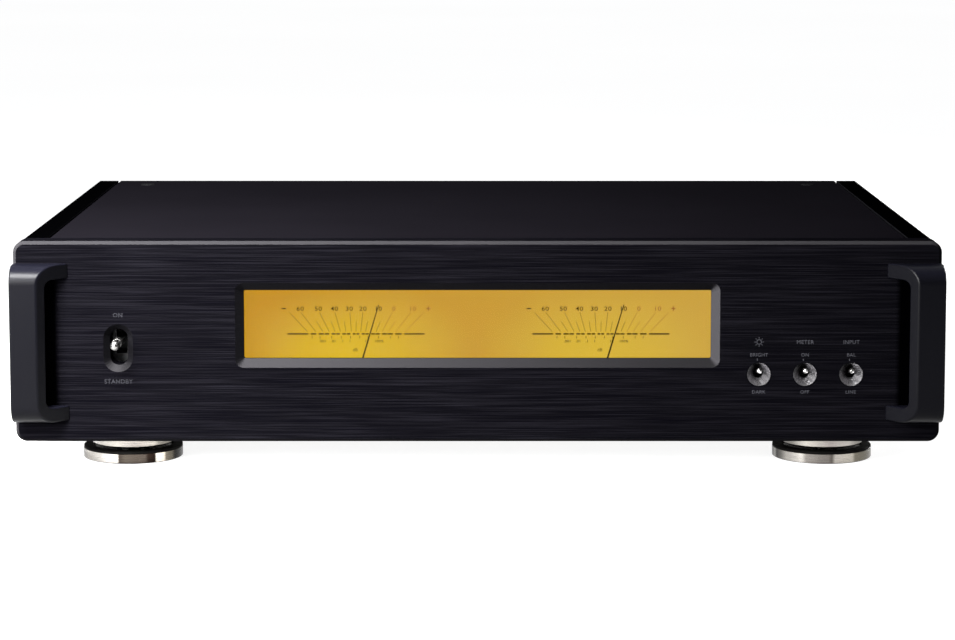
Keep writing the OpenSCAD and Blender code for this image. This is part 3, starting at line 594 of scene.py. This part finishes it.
class Print:
    """Thin solid print that stands on a plane facing the front or the rear."""

    THICK = 0.03 * MM

    def __init__(self, y, facing=-1):
        self.y = y
        self.facing = facing
        self.shape = bmesh.new()

    def slab(self, outline):
        """A closed flat solid from an outline of (x, z)."""
        near = self.y + self.facing * self.THICK
        front = [self.shape.verts.new((x, near, z)) for x, z in outline]
        back = [self.shape.verts.new((x, self.y, z)) for x, z in outline]
        self.shape.faces.new(front)
        self.shape.faces.new(reversed(back))
        for i in range(len(outline)):
            j = (i + 1) % len(outline)
            self.shape.faces.new((front[i], front[j], back[j], back[i]))

    def line(self, start, end, width):
        a, b = Vector(start), Vector(end)
        side = (b - a).normalized().orthogonal() * width / 2
        self.slab([tuple(a - side), tuple(b - side), tuple(b + side), tuple(a + side)])

    def ring(self, centre, radius, width):
        steps = 24
        for i in range(steps):
            turn = [2 * math.pi * (i + k) / steps for k in (0, 1)]
            inner, outer = radius - width / 2, radius + width / 2
            corners = [(inner, turn[0]), (outer, turn[0]), (outer, turn[1]), (inner, turn[1])]
            self.slab([(centre[0] + r * math.cos(t), centre[1] + r * math.sin(t)) for r, t in corners])

    def text(self, words, x, z, height, wide=1.0, heavy=0.0):
        """Words centred on (x, z), with capitals of that height; heavy thickens every stroke."""
        curve = bpy.data.curves.new("words", "FONT")
        curve.body = words
        curve.size = height / 0.72
        curve.extrude = self.THICK / 2
        curve.offset = heavy / 2
        curve.align_x = "CENTER"
        curve.space_character = 1.08
        curve.resolution_u = 3
        holder = bpy.data.objects.new("words", curve)
        bpy.context.collection.objects.link(holder)
        mesh = bpy.data.meshes.new_from_object(holder.evaluated_get(bpy.context.evaluated_depsgraph_get()))
        flip = Matrix.Scale(-self.facing, 4, (1, 0, 0))
        mesh.transform(
            Matrix.Translation((x, self.y + self.facing * self.THICK / 2, z - height / 2))
            @ flip @ Matrix.Rotation(math.radians(90), 4, "X") @ Matrix.Scale(wide, 4, (1, 0, 0))
        )
        self.shape.from_mesh(mesh)
        bpy.data.objects.remove(holder)
        bpy.data.meshes.remove(mesh)
        bpy.data.curves.remove(curve)

    def done(self, name, material, slot):
        return piece(name, from_bmesh(name, self.shape), material)


# ---- The two meter scales ----

BASELINE = 24.0 * MM
BASE_ENDS = (-32.6 * MM, 33.5 * MM)
# Words, the needle's angle in degrees, and the words' place across from the hub in millimetres
SCALE = [
    ("-", -42.5, -34.3), ("60", -37.1, -26.4), ("50", -26.4, -17.7), ("40", -15.7, -9.9), ("30", -4.1, -2.8),
    ("20", 6.2, 3.8), ("10", 16.6, 11.2), ("0", 27.4, 18.7), ("10", 38.0, 27.7), ("+", 43.9, 35.3),
]
RED_FROM = 27.0
NUMBER_Z = 36.35 * MM
NUMBER_TALL = 2.15 * MM
SIGN_HALF = 1.15 * MM
SIGN_WIDE = 0.6 * MM
LINE_WIDE = 0.19 * MM
PERCENT = [(".001", -15.6), (".01", -10.4), (".1", -6.2), ("1", -2.5), ("10", 5.6), ("100%", 11.5)]
PERCENT_TICKS = [-20.7, -16.9, -11.3, -6.7, -2.2, 2.2, 6.2, 11.3, 17.0, 20.9]


def meter_scale(side):
    """Lines, broken baseline and numbers of one meter. Those past RED_FROM are printed in red."""
    hub = pivot(side + "_needle_swing")
    black, red = Print(DIAL_Y), Print(DIAL_Y)
    base_z = hub.z + BASELINE

    def at(angle, above):
        height = BASELINE + above * MM
        return hub.x + height * math.tan(math.radians(angle)), hub.z + height

    breaks = []
    for i, (words, angle, label_x) in enumerate(SCALE):
        ink = red if angle > RED_FROM else black
        label = (hub.x + label_x * MM, hub.z + NUMBER_Z)
        if words in "-+":
            ink.line((label[0] - SIGN_HALF, label[1]), (label[0] + SIGN_HALF, label[1]), SIGN_WIDE)
        else:
            ink.text(words, *label, NUMBER_TALL, 1.18, 0.08 * MM)
        if words == "+":
            ink.line((label[0], label[1] - SIGN_HALF), (label[0], label[1] + SIGN_HALF), SIGN_WIDE)
        ink.line(at(angle, 1.2), at(angle, 10.4), LINE_WIDE)
        breaks.append((angle, 1.15))
        if 0 < i < len(SCALE) - 2:
            between = (angle + SCALE[i + 1][1]) / 2
            ink.line(at(between, 1.2), at(between, 6.0), LINE_WIDE)
            breaks.append((between, 0.35))
    start = BASE_ENDS[0]
    for angle, gap in sorted(breaks) + [(None, 0.0)]:
        end = BASE_ENDS[1] if angle is None else BASELINE * math.tan(math.radians(angle)) - gap / 2 * MM
        black.line((hub.x + start, base_z), (hub.x + end, base_z), 0.75 * MM)
        start = end + gap * MM
    for offset in PERCENT_TICKS:
        x = hub.x + offset * MM
        black.line((x, base_z - 2.2 * MM), (x, base_z - 1.15 * MM), 0.32 * MM)
    for words, offset in PERCENT:
        black.text(words, hub.x + offset * MM, base_z - 3.5 * MM, 1.25 * MM, 1.1, 0.05 * MM)
    black.text("dB", hub.x, hub.z + 16.3 * MM, 1.6 * MM)
    black.done(side + "_scale_black", INK, "dial")
    red.done(side + "_scale_red", RED_INK, "dial")


for meter_side in ("left", "right"):
    meter_scale(meter_side)

# ---- Front labels ----


def panel_labels():
    """Generic function words beside the switches, in dull grey print."""
    ink = Print(FACE_Y)
    power = pivot("power_tilt")
    title_z, upper_z, lower_z = 62.5 * MM, 56.3 * MM, 38.3 * MM
    ink.text("ON", power.x, 75.5 * MM, 2.1 * MM)
    ink.text("STANDBY", power.x, 43.4 * MM, 2.1 * MM)
    toggles = [
        (pivot("brightness_tilt").x, "", "BRIGHT", "DARK"),
        (pivot("meter_tilt").x, "METER", "ON", "OFF"),
        (pivot("input_tilt").x, "INPUT", "BAL", "LINE"),
    ]
    for x, title, upper, lower in toggles:
        if title:
            ink.text(title, x, title_z, 1.9 * MM)
        else:
            sun_icon(ink, x, title_z)
        ink.text(upper, x, upper_z, 1.7 * MM)
        ink.line((x - 0.8 * MM, 53.4 * MM), (x - 0.8 * MM, 54.4 * MM), 0.35 * MM)
        ink.text(lower, x, lower_z, 1.7 * MM)
    ink.done("front_labels", LABEL_INK, "panel_black")


def sun_icon(ink, x, z):
    ink.ring((x, z), 1.1 * MM, 0.3 * MM)
    for i in range(8):
        turn = math.radians(45 * i)
        way = Vector((math.cos(turn), math.sin(turn)))
        ink.line(Vector((x, z)) + way * 1.6 * MM, Vector((x, z)) + way * 2.3 * MM, 0.28 * MM)


panel_labels()


def rear_labels():
    """Generic words and signs beside the sockets and terminals."""
    ink = Print(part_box("rear_panel")[1].y, 1)
    for side in ("left", "right"):
        positive, negative = pivot(side + "_red_turn"), pivot(side + "_black_turn")
        ink.text("+", positive.x, positive.z + 14 * MM, 2.6 * MM)
        minus_z = negative.z + 14 * MM
        ink.line((negative.x - 1 * MM, minus_z), (negative.x + 1 * MM, minus_z), 0.4 * MM)
        ink.text(side.upper(), (positive.x + negative.x) / 2, positive.z - 14 * MM, 2.4 * MM)
    sockets = middle("balanced_sockets")
    jacks = middle("trigger_jacks")
    for offset, words in ((-48, "R"), (-20, "R"), (20, "L"), (48, "L")):
        ink.text(words, offset * MM, sockets.z + 16 * MM, 2.2 * MM)
    for offset in (-48, 48):
        ink.text("BAL", offset * MM, sockets.z - 16.5 * MM, 2 * MM)
    ink.text("LINE", 0, sockets.z - 1 * MM, 2 * MM)
    for offset, words in ((-20, "OUT"), (20, "IN")):
        ink.text(words, offset * MM, jacks.z - 8 * MM, 1.8 * MM)
    inlet = middle("power_inlet")
    ink.text("AC IN", inlet.x, inlet.z + 15 * MM, 2 * MM)
    ink.done("rear_labels", REAR_INK, "case_black")


rear_labels()

# ---- Handles ----


def arc_points(centre, radius, start, end):
    steps = 10
    for i in range(steps + 1):
        turn = math.radians(start + (end - start) * i / steps)
        yield centre[0] + radius * math.cos(turn), centre[1] + radius * math.sin(turn)


def handle(side, name):
    """A bracket handle with softened edges: its inner side slants in towards the bar."""
    low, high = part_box(name)
    arm, bar, outer_r, gap_r, front_wide = 7.3 * MM, 4.2 * MM, 9 * MM, 3.5 * MM, 13 * MM
    gap_y = low.y + bar
    outline = [
        (high.y, low.z), *arc_points((low.y + outer_r, low.z + outer_r), outer_r, 270, 180),
        *arc_points((low.y + outer_r, high.z - outer_r), outer_r, 180, 90), (high.y, high.z),
        (high.y, high.z - arm), *arc_points((gap_y + gap_r, high.z - arm - gap_r), gap_r, 90, 180),
        *arc_points((gap_y + gap_r, low.z + arm + gap_r), gap_r, 180, 270), (high.y, low.z + arm),
    ]
    outer_x = max(abs(low.x), abs(high.x))
    base_x = min(abs(low.x), abs(high.x))
    front_x = outer_x - front_wide

    def inner_x(y):
        return base_x + (front_x - base_x) * (high.y - y) / (high.y - low.y)

    shape = bmesh.new()
    inner = [shape.verts.new((side * inner_x(y), y, z)) for y, z in outline]
    outer = [shape.verts.new((side * outer_x, y, z)) for y, z in outline]
    shape.faces.new(inner)
    shape.faces.new(reversed(outer))
    for i in range(len(outline)):
        j = (i + 1) % len(outline)
        shape.faces.new((inner[i], outer[i], outer[j], inner[j]))
    made = piece(name + "_shell", from_bmesh(name, shape), FINISHES["handle_black"])
    soften = made.modifiers.new("soften", "BEVEL")
    soften.width = 0.8 * MM
    soften.segments = 3
    soften.limit_method = "ANGLE"
    soften.angle_limit = math.radians(40)
    soften.harden_normals = True
    for face in made.data.polygons:
        face.use_smooth = True
    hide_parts(name)


handle(-1, "left_handle")
handle(1, "right_handle")

# ---- Stage ----


def make_floor():
    """A pale, faintly lit table that runs out to the horizon."""
    made = Shader("floor_pale", (0.3, 0.3, 0.3), 0.8, 0.0, 0.0, Emission_Strength=0.85)
    made.set("Emission Color", (1, 1, 1, 1))
    made.color(made.ramp(made.noise(0.8), [(0.3, (0.29, 0.29, 0.29)), (0.7, (0.32, 0.32, 0.32))]))
    mesh = bpy.data.meshes.new("floor")
    reach = 30
    corners = [(-reach, -reach, 0), (reach, -reach, 0), (reach, reach, 0), (-reach, reach, 0)]
    mesh.from_pydata(corners, [], [(0, 1, 2, 3)])
    mesh.materials.append(made.material)
    floor = bpy.data.objects.new("floor", mesh)
    bpy.context.collection.objects.link(floor)


def light(name, kind, location, target, power):
    data = bpy.data.lights.new(name, kind)
    data.energy = power
    lamp = bpy.data.objects.new(name, data)
    lamp.location = location
    lamp.rotation_euler = (Vector(target) - Vector(location)).to_track_quat("-Z", "Y").to_euler()
    bpy.context.collection.objects.link(lamp)
    return data


def softbox(name, location, target, size, power, spread=180):
    data = light(name, "AREA", location, target, power)
    data.shape = "RECTANGLE"
    data.size, data.size_y = size
    data.spread = math.radians(spread)


def make_light():
    """A key from the left, a softbox above the left end, and a fill and a weak sun from behind."""
    world = bpy.data.worlds.new("studio")
    world.use_nodes = True
    world.node_tree.nodes["Background"].inputs["Color"].default_value = (0.95, 0.97, 1.0, 1.0)
    world.node_tree.nodes["Background"].inputs["Strength"].default_value = 0.3
    bpy.context.scene.world = world
    softbox("key", (-0.5, -0.68, 0.31), (-0.05, -0.16, 0.06), (0.3, 0.3), 30)
    softbox("above_left", (-0.34, -0.56, 0.66), (-0.25, -0.18, 0.09), (0.32, 0.28), 8.5, 66)
    softbox("rear_fill", (1.05, 1.0, 0.32), (0, 0.18, 0.06), (0.4, 0.4), 26)
    sun = light("sun", "SUN", (0.2, 1.0, 1.6), (0, 0, 0), 0.6)
    sun.angle = math.radians(60)


make_floor()
make_light()
bpy.context.scene.view_settings.view_transform = "Standard"
